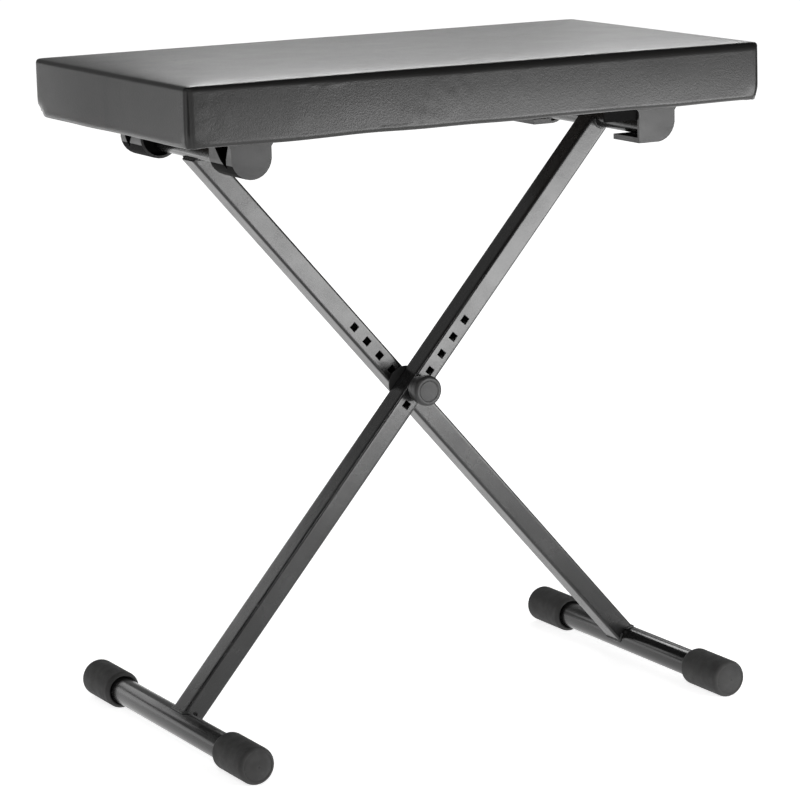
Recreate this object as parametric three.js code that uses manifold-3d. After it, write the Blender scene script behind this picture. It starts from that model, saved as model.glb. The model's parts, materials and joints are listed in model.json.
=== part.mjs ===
// X-frame folding keyboard bench.
// Millimetres, +Z up. The origin is on the floor, under the middle of the bench.
// +X runs along the seat, -Y is the front, where the clamping knob is.
//
// Two leg frames cross at one bolt. Each is a rectangular tube with a round crossbar at its
// top end and a round foot tube at its bottom end. The rear leg's crossbar turns in the two
// pivot brackets at -X, and the front leg's crossbar lies in the two hook brackets at +X.

import * as THREE from 'three';
import { mergeVertices } from 'three/addons/utils/BufferGeometryUtils.js';
import Module from 'manifold-3d';

const wasm = await Module();
wasm.setup();

// ---------------------------------------------------------------- driving dimensions

const GAP = 0.3;                    // free space kept between two touching pieces

const SEAT_LENGTH = 580;
const SEAT_WIDTH = 325;
const SEAT_TOP = 611;
const SEAT_THICKNESS = 51.5;
const SEAT_UNDERSIDE = SEAT_TOP - SEAT_THICKNESS;
const SEAT_EDGE_RADIUS = 8;
const SEAT_CORNER_RADIUS = 9;
const COVER_THICKNESS = 1.2;
const HEM_WIDTH = 26;               // how far the cover is turned in under the board
const BOARD_THICKNESS = 12;

const FOOT_SPREAD = 495;            // between the axes of the two foot tubes
const CAP_RADIUS = 17.5;
const CAP_LENGTH = 61.5;
const CAP_END = 173;                // from the middle of a foot to the end of its cap
const FOOT_RADIUS = 12.5;
const TUBE_WALL = 1.5;

const PIVOT_TO_FOOT = 377;
const PIVOT_TO_CROSSBAR = 309.5;
const LEG_WIDTH = 20;               // seen from the front
const LEG_DEPTH = 25;               // front to back
const LEG_CORNER_RADIUS = 2.2;
const LEG_GAP = 1.7;                // between the two legs, where the glide washer runs
const FRONT_LEG_Y = -14.4;
const HOLE_SIZE = 6.5;
const HOLE_COUNT = 6;
const HOLE_PITCH = 19.4;
const HOLES_BELOW_BOLT = 1;

const CROSSBAR_RADIUS = 7;
const LEG_TOP_TO_CROSSBAR = 3;      // from a leg tube's top end to its crossbar's axis
const BRACKET_CENTRE_X = 207.5;
const BRACKET_WIDTH = 39;
const BRACKET_HEIGHT = 37;
const BRACKET_OUTER_Y = 115;
const BRACKET_DEPTH = 44;
const BRACKET_WALL = 2.4;
const BRACKET_PLATE = 2.8;          // its cheek, its top plate and its screw flanges
const BRACKET_BLOCK = 12;           // how deep the block is that carries the crossbar's end
const HOOK_LIP = 5;                 // thickness of the ledge that the crossbar slides in over
const FLANGE_REACH = 11;
const GUSSET_REACH = 5;
const GUSSET_DROP = 9;
const SCREW_OFFSET = 5.5;           // from a bracket's side to its screws
const SCREW_HOLE_RADIUS = 2.3;
const SCREW_HOLE_DEPTH = 10.5;
const SCREW_RADIUS = 2;
const SCREW_LENGTH = 12;
const SCREW_HEAD_RADIUS = 4;
const SCREW_HEAD_HEIGHT = 2.4;

const BOLT_RADIUS = 3;
const BOLT_HEAD_RADIUS = 8.5;
const BOLT_HEAD_HEIGHT = 3.8;
const BOLT_CLEARANCE = 0.4;
const GLIDE_RADIUS = 17;
const KNOB_RADIUS = 14.2;
const KNOB_LENGTH = 19.2;
const KNOB_BACK = 2.2;              // from the front leg's face to the knob
const INSERT_RADIUS = 5;
const INSERT_LENGTH = 11;

// ---------------------------------------------------------------- derived dimensions

const LEG_ANGLE = Math.acos(FOOT_SPREAD / 2 / PIVOT_TO_FOOT);
const PIVOT_Z = CAP_RADIUS + PIVOT_TO_FOOT * Math.sin(LEG_ANGLE);
const LEG_REACH = PIVOT_TO_FOOT + PIVOT_TO_CROSSBAR;
const CROSSBAR_X = PIVOT_TO_CROSSBAR * Math.cos(LEG_ANGLE);
const CROSSBAR_Z = PIVOT_Z + PIVOT_TO_CROSSBAR * Math.sin(LEG_ANGLE);
const CROSSBAR_END = BRACKET_OUTER_Y - BRACKET_PLATE - 2 * GAP;
const REAR_LEG_Y = FRONT_LEG_Y + LEG_DEPTH + LEG_GAP;
const FRONT_FACE_Y = FRONT_LEG_Y - LEG_DEPTH / 2;
const REAR_FACE_Y = REAR_LEG_Y + LEG_DEPTH / 2;
const BRACKET_TOP = SEAT_UNDERSIDE + COVER_THICKNESS;
const BRACKET_BOTTOM = SEAT_UNDERSIDE - BRACKET_HEIGHT;
const BRACKET_ROUND_Z = BRACKET_BOTTOM + BRACKET_WIDTH / 2;
const CAP_MOUTH = CAP_END - CAP_LENGTH;
const LEFT = -1;
const RIGHT = 1;
const FRONT = -1;
const REAR = 1;

// ---------------------------------------------------------------- materials

function material(name, color, roughness, metalness) {
  return new THREE.MeshStandardMaterial({ name, color, roughness, metalness });
}

const leatherette = material('leatherette', 0x2b2a2c, 0.5, 0);
const foam = material('foam', 0xd8d2b4, 0.95, 0);
const plywood = material('plywood', 0xa98558, 0.8, 0);
const blackSteel = material('black_steel', 0x1d1c1e, 0.42, 0.2);
const footSteel = material('foot_steel', 0x18181a, 0.25, 0.2);
const capRubber = material('cap_rubber', 0x262628, 0.85, 0);
const bracketPlastic = material('bracket_plastic', 0x2a2a2c, 0.6, 0);
const knobPlastic = material('knob_plastic', 0x2e2e30, 0.55, 0);
const glidePlastic = material('glide_plastic', 0x1b1b1c, 0.6, 0);
const zincSteel = material('zinc_steel', 0xb8bcc0, 0.35, 1);
const brass = material('brass', 0xb08d4c, 0.35, 1);

// ---------------------------------------------------------------- geometry helpers

// A closed geometry as a manifold-3d solid.
function solid(geometry) {
  const bare = geometry.clone();
  bare.deleteAttribute('normal');
  bare.deleteAttribute('uv');
  const merged = mergeVertices(bare, 1e-4);
  return new wasm.Manifold(new wasm.Mesh({
    numProp: 3,
    vertProperties: new Float32Array(merged.attributes.position.array),
    triVerts: new Uint32Array(merged.index.array),
  }));
}

// A manifold-3d solid as a geometry.
function geometryOf(body) {
  const mesh = body.getMesh();
  const geometry = new THREE.BufferGeometry();
  geometry.setAttribute('position', new THREE.BufferAttribute(new Float32Array(mesh.vertProperties), 3));
  geometry.setIndex(new THREE.BufferAttribute(new Uint32Array(mesh.triVerts), 1));
  geometry.computeVertexNormals();
  return geometry;
}

function mesh(name, shape, finish) {
  const geometry = shape.isBufferGeometry ? shape : geometryOf(shape);
  const node = new THREE.Mesh(geometry, finish);
  node.name = name;
  return node;
}

// A box between two opposite corners, given in any order.
function boxBetween(a, b) {
  const size = a.map((value, i) => Math.abs(b[i] - value));
  const middle = a.map((value, i) => (value + b[i]) / 2);
  return solid(new THREE.BoxGeometry(...size).translate(...middle));
}

// A round bar along Y whose flats, not its corners, lie on the radius.
function barAlongY(radius, y0, y1, x, z, segments = 24) {
  const corner = radius / Math.cos(Math.PI / segments);
  const bar = new THREE.CylinderGeometry(corner, corner, Math.abs(y1 - y0), segments);
  return solid(bar.rotateY(Math.PI / segments).translate(x, (y0 + y1) / 2, z));
}

// A lathed body about Y. The profile is a closed list of [radius, y].
function lathe(profile, segments) {
  const points = profile.map(([radius, y]) => new THREE.Vector2(radius / Math.cos(Math.PI / segments), y));
  return new THREE.LatheGeometry(points, segments, Math.PI / segments);
}

// Points of an arc in a lathe profile, from one angle to another, in degrees.
function arc(centre, radii, from, to, steps) {
  return Array.from({ length: steps + 1 }, (_, i) => {
    const angle = THREE.MathUtils.degToRad(from + (to - from) * i / steps);
    return [centre[0] + radii[0] * Math.cos(angle), centre[1] + radii[1] * Math.sin(angle)];
  });
}

// A rectangle with round corners, centred on the origin.
function roundedRectangle(width, height, radius) {
  const x = width / 2 - radius;
  const y = height / 2 - radius;
  const shape = new THREE.Shape();
  shape.absarc(x, y, radius, 0, Math.PI / 2);
  shape.absarc(-x, y, radius, Math.PI / 2, Math.PI);
  shape.absarc(-x, -y, radius, Math.PI, 1.5 * Math.PI);
  shape.absarc(x, -y, radius, 1.5 * Math.PI, 2 * Math.PI);
  return shape;
}

// An outline in the YZ plane, extruded along X from x0 to x1.
function sidePlate(points, x0, x1) {
  const shape = new THREE.Shape(points.map(([y, z]) => new THREE.Vector2(y, z)));
  const plate = new THREE.ExtrudeGeometry(shape, { depth: Math.abs(x1 - x0), bevelEnabled: false });
  plate.rotateX(Math.PI / 2).rotateZ(Math.PI / 2);
  return solid(plate.translate(Math.min(x0, x1), 0, 0));
}

// An outline in the XZ plane, extruded along Y from y0 to y1.
function facePlate(points, y0, y1) {
  const shape = new THREE.Shape(points.map(([x, z]) => new THREE.Vector2(x, z)));
  const plate = new THREE.ExtrudeGeometry(shape, { depth: Math.abs(y1 - y0), bevelEnabled: false });
  plate.rotateX(Math.PI / 2);
  return solid(plate.translate(0, Math.max(y0, y1), 0));
}

// ---------------------------------------------------------------- seat

// The seat's outer form, shrunk evenly by an inset: rounded corners, rounded top and bottom edges.
function seatForm(inset) {
  const edge = SEAT_EDGE_RADIUS - inset;
  const length = SEAT_LENGTH - 2 * SEAT_EDGE_RADIUS;
  const width = SEAT_WIDTH - 2 * SEAT_EDGE_RADIUS;
  const outline = roundedRectangle(length, width, SEAT_CORNER_RADIUS - SEAT_EDGE_RADIUS + 1);
  const form = new THREE.ExtrudeGeometry(outline, {
    depth: SEAT_THICKNESS - 2 * SEAT_EDGE_RADIUS,
    bevelSize: edge,
    bevelThickness: edge,
    bevelSegments: 4,
    curveSegments: 3,
  });
  return solid(form.translate(0, 0, SEAT_UNDERSIDE + SEAT_EDGE_RADIUS));
}

// Board and foam fill the cover, so each is the part of the inner form between two heights.
function seatLayer(bottom, top) {
  const inside = seatForm(COVER_THICKNESS + GAP);
  return inside.intersect(boxBetween([-SEAT_LENGTH, -SEAT_WIDTH, bottom], [SEAT_LENGTH, SEAT_WIDTH, top]));
}

function bracketScrewPlaces() {
  const places = [];
  for (const side of [LEFT, RIGHT]) {
    for (const end of [FRONT, REAR]) {
      for (const edge of [-1, 1]) {
        const x = side * BRACKET_CENTRE_X + edge * (BRACKET_WIDTH / 2 + SCREW_OFFSET);
        places.push([x, end * (BRACKET_OUTER_Y - BRACKET_DEPTH / 2)]);
      }
    }
  }
  return places;
}

function screwHole(x, y, z, halfLength) {
  const hole = new THREE.CylinderGeometry(SCREW_HOLE_RADIUS, SCREW_HOLE_RADIUS, 2 * halfLength, 12);
  return solid(hole.rotateX(Math.PI / 2).translate(x, y, z));
}

function seatBoard() {
  const bottom = SEAT_UNDERSIDE + COVER_THICKNESS + GAP;
  let board = seatLayer(bottom, bottom + BOARD_THICKNESS);
  for (const [x, y] of bracketScrewPlaces()) {
    board = board.subtract(screwHole(x, y, bottom, SCREW_HOLE_DEPTH));
  }
  return mesh('seat_board', board, plywood);
}

function foamPad() {
  const bottom = SEAT_UNDERSIDE + COVER_THICKNESS + BOARD_THICKNESS + 2 * GAP;
  return mesh('foam_pad', seatLayer(bottom, SEAT_TOP), foam);
}

// One skin round the foam and board, open underneath inside its turned-in hem.
function seatCover() {
  const opening = boxBetween(
    [-SEAT_LENGTH / 2 + HEM_WIDTH, -SEAT_WIDTH / 2 + HEM_WIDTH, SEAT_UNDERSIDE - 1],
    [SEAT_LENGTH / 2 - HEM_WIDTH, SEAT_WIDTH / 2 - HEM_WIDTH, SEAT_UNDERSIDE + BOARD_THICKNESS],
  );
  return mesh('seat_cover', seatForm(0).subtract(seatForm(COVER_THICKNESS)).subtract(opening), leatherette);
}

// ---------------------------------------------------------------- brackets under the seat

// Screw flanges on both sides of a bracket, with small gussets in the plane of its cheek.
function bracketFlanges(centreX, end) {
  const half = BRACKET_WIDTH / 2;
  const bottom = BRACKET_TOP - BRACKET_PLATE;
  const inner = end * (BRACKET_OUTER_Y - BRACKET_DEPTH + 8);
  const outer = end * (BRACKET_OUTER_Y - 4);
  let flanges = boxBetween(
    [centreX - half - FLANGE_REACH, inner, bottom],
    [centreX + half + FLANGE_REACH, outer, BRACKET_TOP],
  );
  for (const edge of [-1, 1]) {
    const root = centreX + edge * (half - 1);
    const tip = centreX + edge * (half + GUSSET_REACH);
    const gusset = [[root, BRACKET_TOP], [tip, BRACKET_TOP], [tip, bottom], [root, bottom - GUSSET_DROP]];
    flanges = flanges.add(facePlate(gusset, end * BRACKET_OUTER_Y, end * (BRACKET_OUTER_Y - BRACKET_PLATE)));
  }
  return flanges;
}

function drillScrewHoles(bracket) {
  for (const [x, y] of bracketScrewPlaces()) {
    bracket = bracket.subtract(screwHole(x, y, BRACKET_TOP, 2 * BRACKET_PLATE));
  }
  return bracket;
}

// The D-shaped form of a bracket, thinned evenly by an inset, between two depths and under a top.
function bracketForm(centreX, inset, y0, y1, top) {
  const half = BRACKET_WIDTH / 2 - inset;
  const below = boxBetween([centreX - half, y0, BRACKET_BOTTOM - 1], [centreX + half, y1, top]);
  return barAlongY(half, y0, y1, centreX, BRACKET_ROUND_Z, 28)
    .add(boxBetween([centreX - half, y0, BRACKET_ROUND_Z], [centreX + half, y1, top]))
    .intersect(below);
}

// A solid block behind a bracket's cheek, which carries the crossbar's end.
function bracketBlock(centreX, end) {
  const cheekY = end * (BRACKET_OUTER_Y - BRACKET_PLATE / 2);
  return bracketForm(centreX, 1, cheekY, cheekY - end * BRACKET_BLOCK, BRACKET_TOP - 1);
}

function bracketMesh(kind, end, shape) {
  const name = `${kind}_bracket_${end === FRONT ? 'front' : 'rear'}`;
  return mesh(name, drillScrewHoles(shape), bracketPlastic);
}

// Closed round the crossbar, which turns in it. A triangular window lightens its outer wall.
function pivotBracket(end) {
  const centreX = LEFT * BRACKET_CENTRE_X;
  const outerY = end * BRACKET_OUTER_Y;
  const innerY = end * (BRACKET_OUTER_Y - BRACKET_DEPTH);
  const cheekY = end * (BRACKET_OUTER_Y - BRACKET_PLATE);
  const plateBottom = BRACKET_TOP - BRACKET_PLATE;
  const window = [
    [cheekY - end, plateBottom],
    [innerY + 3 * end, plateBottom],
    [cheekY - 11 * end, BRACKET_BOTTOM + 9],
  ];
  const wallX = centreX - BRACKET_WIDTH / 2;
  const shape = bracketForm(centreX, 0, innerY, outerY, BRACKET_TOP)
    .subtract(bracketForm(centreX, BRACKET_WALL, innerY - end, cheekY, plateBottom))
    .add(bracketBlock(centreX, end))
    .subtract(sidePlate(window, wallX - 1, wallX + 2 * BRACKET_WALL))
    .add(bracketFlanges(centreX, end))
    .subtract(barAlongY(CROSSBAR_RADIUS + GAP, innerY - end, cheekY, LEFT * CROSSBAR_X, CROSSBAR_Z));
  return bracketMesh('pivot', end, shape);
}

// Open towards the middle of the bench, so that the crossbar can slide in over the lower lip.
function hookBracket(end) {
  const centreX = RIGHT * BRACKET_CENTRE_X;
  const half = BRACKET_WIDTH / 2;
  const outerY = end * BRACKET_OUTER_Y;
  const innerY = end * (BRACKET_OUTER_Y - BRACKET_DEPTH);
  const cheekY = end * (BRACKET_OUTER_Y - BRACKET_PLATE);
  const plateBottom = BRACKET_TOP - BRACKET_PLATE;
  const lipTop = BRACKET_BOTTOM + HOOK_LIP;
  const slotHalf = CROSSBAR_RADIUS + GAP + 0.1;
  const slot = boxBetween(
    [centreX - half - 1, innerY - end, CROSSBAR_Z - slotHalf],
    [CROSSBAR_X, cheekY, CROSSBAR_Z + slotHalf],
  ).add(barAlongY(slotHalf, innerY - end, cheekY, CROSSBAR_X, CROSSBAR_Z));
  const hollow = bracketForm(centreX, BRACKET_WALL, innerY - end, cheekY, plateBottom)
    .add(boxBetween([centreX - half - 1, innerY - end, lipTop], [centreX, cheekY, plateBottom]));
  const lip = boxBetween([centreX - half, innerY, BRACKET_BOTTOM], [centreX, outerY, lipTop]);
  const cheekCorner = boxBetween([centreX - half, cheekY, BRACKET_BOTTOM], [centreX, outerY, BRACKET_TOP]);
  const shape = bracketForm(centreX, 0, innerY, outerY, BRACKET_TOP)
    .subtract(hollow)
    .add(lip)
    .add(cheekCorner)
    .add(bracketBlock(centreX, end))
    .add(bracketFlanges(centreX, end))
    .subtract(slot);
  return bracketMesh('hook', end, shape);
}

// A pan-head screw, drawn along +Y with its head down, then stood up under a flange.
function bracketScrews() {
  const tip = SCREW_HEAD_HEIGHT + SCREW_LENGTH;
  const profile = [
    [0, 0], [2.6, 0], [3.6, 0.6], [SCREW_HEAD_RADIUS, 1.4], [SCREW_HEAD_RADIUS, SCREW_HEAD_HEIGHT],
    [SCREW_RADIUS, SCREW_HEAD_HEIGHT], [SCREW_RADIUS, tip - 2], [0, tip],
  ];
  const headZ = BRACKET_TOP - BRACKET_PLATE - GAP - SCREW_HEAD_HEIGHT;
  return bracketScrewPlaces().map(([x, y], i) => {
    const screw = mesh(`bracket_screw_${i + 1}`, lathe(profile, 14), zincSteel);
    screw.rotation.x = Math.PI / 2;
    screw.position.set(x, y, headZ);
    return screw;
  });
}

// ---------------------------------------------------------------- leg frames

// Drawn along +X from the foot tube's axis to the crossbar's axis. A cope fits it over the
// foot tube, and a notch in its top end takes the crossbar.
function legTube(name) {
  const topEnd = LEG_REACH - LEG_TOP_TO_CROSSBAR;
  const section = roundedRectangle(LEG_WIDTH, LEG_DEPTH, LEG_CORNER_RADIUS);
  const tube = new THREE.ExtrudeGeometry(section, { depth: topEnd, bevelEnabled: false, curveSegments: 3 });
  const bore = [topEnd + 1, LEG_DEPTH / 2 - TUBE_WALL, LEG_WIDTH / 2 - TUBE_WALL];
  let leg = solid(tube.rotateY(Math.PI / 2))
    .subtract(boxBetween([-1, -bore[1], -bore[2]], bore))
    .subtract(barAlongY(FOOT_RADIUS + GAP, -LEG_DEPTH, LEG_DEPTH, 0, 0, 32))
    .subtract(barAlongY(CROSSBAR_RADIUS + GAP, -LEG_DEPTH, LEG_DEPTH, LEG_REACH, 0));
  for (let i = 0; i < HOLE_COUNT; i += 1) {
    const x = PIVOT_TO_FOOT + (i - HOLES_BELOW_BOLT) * HOLE_PITCH;
    const half = HOLE_SIZE / 2;
    leg = leg.subtract(boxBetween([x - half, -LEG_DEPTH, -half], [x + half, LEG_DEPTH, half]));
  }
  return mesh(name, leg, blackSteel);
}

function crossbar(name, side) {
  const bar = barAlongY(CROSSBAR_RADIUS, -CROSSBAR_END, CROSSBAR_END, side * CROSSBAR_X, CROSSBAR_Z);
  return mesh(name, bar, blackSteel);
}

function footTube(name) {
  const half = CAP_END - 8;
  const ring = [
    [FOOT_RADIUS - TUBE_WALL, -half], [FOOT_RADIUS, -half], [FOOT_RADIUS, half],
    [FOOT_RADIUS - TUBE_WALL, half], [FOOT_RADIUS - TUBE_WALL, -half],
  ];
  return mesh(name, lathe(ring, 32), footSteel);
}

// A rubber cup over the tube's end. Its mouth flares, and its end is a shallow dome in a groove.
function footCap(name, end) {
  const inside = FOOT_RADIUS + GAP;
  const floor = CAP_END - 7.5;
  const profile = [
    [0, floor],
    [inside, floor],
    [inside, CAP_MOUTH + 5],
    [inside + 1.8, CAP_MOUTH],
    [CAP_RADIUS - 2, CAP_MOUTH],
    [CAP_RADIUS, CAP_MOUTH + 4],
    ...arc([CAP_RADIUS - 4.5, CAP_END - 7.7], [4.5, 5.7], 0, 70, 4),
    [12.9, CAP_END - 2.5],
    ...arc([0, CAP_END - 7.5], [19.6, 7.5], 50, 90, 4),
  ];
  profile[profile.length - 1][0] = 0;
  const cap = mesh(name, lathe(profile, 24), capRubber);
  cap.rotation.z = end === FRONT ? Math.PI : 0;
  return cap;
}

// A foot tube with its two caps, along Y through the foot's own origin.
function foot(sideName, side) {
  const group = new THREE.Group();
  group.position.set(side * FOOT_SPREAD / 2, 0, CAP_RADIUS);
  group.add(footTube(`${sideName}_foot_tube`));
  group.add(footCap(`${sideName}_foot_cap_front`, FRONT));
  group.add(footCap(`${sideName}_foot_cap_rear`, REAR));
  return group;
}

// A group whose +X runs up along a leg, with its origin on the foot tube's axis.
function legAxis(footSide) {
  const group = new THREE.Group();
  group.position.set(footSide * FOOT_SPREAD / 2, 0, CAP_RADIUS);
  group.rotation.y = footSide === LEFT ? -LEG_ANGLE : LEG_ANGLE - Math.PI;
  return group;
}

// ---------------------------------------------------------------- pivot bolt and knob

// A carriage bolt: its square neck sits in the square hole of the rear leg's rear wall.
function pivotBolt() {
  const neckHalf = HOLE_SIZE / 2 - GAP;
  const neckLength = 4;
  const headY = REAR_FACE_Y + GAP;
  const tipY = FRONT_FACE_Y - KNOB_BACK - INSERT_LENGTH;
  const dome = arc([0, headY], [BOLT_HEAD_RADIUS, BOLT_HEAD_HEIGHT], 8, 90, 5);
  const head = solid(lathe([[0, headY], [BOLT_HEAD_RADIUS, headY], ...dome], 24));
  const shank = barAlongY(BOLT_RADIUS, headY + 1, tipY, 0, 0, 16);
  const neckEnd = REAR_FACE_Y - neckLength;
  const square = boxBetween([-neckHalf, headY + 1, -neckHalf], [neckHalf, neckEnd, neckHalf]);
  const bolt = mesh('pivot_bolt', head.add(shank).add(square), zincSteel);
  bolt.position.x = PIVOT_TO_FOOT;
  return bolt;
}

function ring(name, innerRadius, outerRadius, y0, y1, finish) {
  const start = [innerRadius, y0];
  const profile = [start, [outerRadius, y0], [outerRadius, y1], [innerRadius, y1], start];
  const part = mesh(name, lathe(profile, 24), finish);
  part.position.z = PIVOT_Z;
  return part;
}

function glideWasher() {
  const front = FRONT_LEG_Y + LEG_DEPTH / 2 + GAP;
  const rear = front + LEG_GAP - 2 * GAP;
  return ring('glide_washer', BOLT_RADIUS + BOLT_CLEARANCE, GLIDE_RADIUS, front, rear, glidePlastic);
}

function knobWasher() {
  const radius = 8;
  const thickness = 1.4;
  const back = FRONT_FACE_Y - GAP;
  return ring('knob_washer', BOLT_RADIUS + BOLT_CLEARANCE, radius, back - thickness, back, zincSteel);
}

function knobInsert() {
  const back = FRONT_FACE_Y - KNOB_BACK - GAP;
  return ring('knob_insert', BOLT_RADIUS + GAP, INSERT_RADIUS, back - INSERT_LENGTH, back, brass);
}

// A round clamping knob: a narrower collar, a groove and a larger cap with a soft edge.
function knob() {
  const back = FRONT_FACE_Y - KNOB_BACK;
  const front = back - KNOB_LENGTH + 1;
  const boreEnd = back - INSERT_LENGTH - 1.5;
  const bore = INSERT_RADIUS + GAP;
  const collar = KNOB_RADIUS - 1.7;
  const groove = KNOB_RADIUS - 3;
  const profile = [
    [0, boreEnd],
    [bore, boreEnd],
    [bore, back],
    [collar - 1.1, back],
    [collar - 0.2, back - 1],
    [collar, back - 7],
    [groove, back - 7.6],
    [groove, back - 9],
    ...arc([KNOB_RADIUS - 2, back - 11], [2, 2], 90, 0, 3),
    ...arc([KNOB_RADIUS - 3, front + 3.6], [3, 3], 0, -80, 4),
    [0, front],
  ];
  const part = mesh('clamp_knob', lathe(profile.reverse(), 24), knobPlastic);
  part.position.z = PIVOT_Z;
  return part;
}

// ---------------------------------------------------------------- assembly

function seat() {
  const group = new THREE.Group();
  group.add(seatBoard(), foamPad(), seatCover());
  for (const end of [FRONT, REAR]) {
    group.add(pivotBracket(end), hookBracket(end));
  }
  group.add(...bracketScrews());
  return group;
}

function rearLeg() {
  const axis = legAxis(RIGHT);
  const tube = legTube('rear_leg_tube');
  tube.position.y = REAR_LEG_Y;
  axis.add(tube, pivotBolt());
  const group = new THREE.Group();
  group.add(axis, crossbar('left_crossbar', LEFT), foot('right', RIGHT), glideWasher());
  return group;
}

function frontLeg() {
  const axis = legAxis(LEFT);
  const tube = legTube('front_leg_tube');
  tube.position.y = FRONT_LEG_Y;
  axis.add(tube);
  const group = new THREE.Group();
  group.add(axis, crossbar('right_crossbar', RIGHT), foot('left', LEFT), knobWasher());
  return group;
}

const bench = new THREE.Group();
bench.add(seat(), rearLeg(), frontLeg(), knob(), knobInsert());

export default bench;
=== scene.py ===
"""The looks of an X-frame folding keyboard bench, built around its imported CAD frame."""

import json
import math
import random

import bmesh
import bpy
from mathutils import Matrix, Vector, noise


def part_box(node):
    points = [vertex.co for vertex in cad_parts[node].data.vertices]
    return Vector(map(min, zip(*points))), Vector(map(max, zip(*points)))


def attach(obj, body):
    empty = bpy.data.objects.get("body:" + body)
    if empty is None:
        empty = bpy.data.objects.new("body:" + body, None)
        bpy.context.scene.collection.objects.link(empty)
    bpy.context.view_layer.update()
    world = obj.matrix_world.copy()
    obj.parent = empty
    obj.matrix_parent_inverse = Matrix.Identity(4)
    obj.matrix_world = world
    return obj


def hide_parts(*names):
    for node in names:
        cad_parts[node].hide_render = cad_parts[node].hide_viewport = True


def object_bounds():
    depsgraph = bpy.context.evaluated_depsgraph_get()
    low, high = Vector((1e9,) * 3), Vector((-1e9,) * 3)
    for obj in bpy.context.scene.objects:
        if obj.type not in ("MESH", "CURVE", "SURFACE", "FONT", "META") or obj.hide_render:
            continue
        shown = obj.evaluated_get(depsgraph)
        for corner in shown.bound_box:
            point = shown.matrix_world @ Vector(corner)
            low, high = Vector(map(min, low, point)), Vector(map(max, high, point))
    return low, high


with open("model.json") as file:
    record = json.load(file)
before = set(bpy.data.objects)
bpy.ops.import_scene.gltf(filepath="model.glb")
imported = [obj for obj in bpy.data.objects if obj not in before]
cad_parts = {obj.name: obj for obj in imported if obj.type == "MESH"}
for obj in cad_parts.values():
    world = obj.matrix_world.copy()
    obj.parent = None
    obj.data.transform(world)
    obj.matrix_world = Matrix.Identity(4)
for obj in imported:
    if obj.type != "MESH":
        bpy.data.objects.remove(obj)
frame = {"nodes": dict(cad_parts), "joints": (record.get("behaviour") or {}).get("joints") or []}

CAD_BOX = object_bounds()
MM = 0.001

# ---------------------------------------------------------------- places read from the frame


def middle(node):
    low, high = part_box(node)
    return (low + high) / 2


def size(node):
    low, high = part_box(node)
    return high - low


PIVOT = Vector(next(j["pos_m"] for j in frame["joints"] if j["name"] == "scissor"))
CROSSBAR = {"left": middle("left_crossbar"), "right": middle("right_crossbar")}
FOOT = {"left": middle("left_foot_tube"), "right": middle("right_foot_tube")}
CAD_MIDDLE = (CAD_BOX[0] + CAD_BOX[1]) / 2

# The legs' section, and the row of square bolt holes, as in the CAD.
LEG_WIDTH = 20 * MM
LEG_WALL = 1.5 * MM
LEG_CORNER = 2.2 * MM
HOLE_HALF = 3.25 * MM
HOLE_PITCH = 19.4 * MM
HOLES = range(-1, 5)

# ---------------------------------------------------------------- camera

VIEW_AZIMUTH = math.radians(28.655)
VIEW_ELEVATION = math.radians(11.375)
VIEW_ROLL = math.radians(-1.34)
VIEW_DISTANCE = 3.175
VIEW_FOCAL = 153.4
VIEW_AIM = Vector((CAD_MIDDLE.x - 0.0049, CAD_MIDDLE.y, CAD_MIDDLE.z - 0.0189))


def make_camera():
    flat = math.cos(VIEW_ELEVATION)
    ahead_x = math.sin(VIEW_AZIMUTH) * flat
    ahead_y = math.cos(VIEW_AZIMUTH) * flat
    ahead = Vector((ahead_x, ahead_y, -math.sin(VIEW_ELEVATION)))
    level = Vector((math.cos(VIEW_AZIMUTH), -math.sin(VIEW_AZIMUTH), 0))
    upright = level.cross(ahead)
    right = math.cos(VIEW_ROLL) * level + math.sin(VIEW_ROLL) * upright
    up = math.cos(VIEW_ROLL) * upright - math.sin(VIEW_ROLL) * level
    turn = Matrix((right, up, -ahead)).transposed()
    camera = bpy.data.objects.new("camera", bpy.data.cameras.new("camera"))
    camera.data.lens = VIEW_FOCAL
    camera.data.clip_end = 50
    camera.matrix_world = Matrix.Translation(VIEW_AIM - ahead * VIEW_DISTANCE) @ turn.to_4x4()
    bpy.context.scene.collection.objects.link(camera)
    bpy.context.scene.camera = camera


# ---------------------------------------------------------------- material helpers


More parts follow.
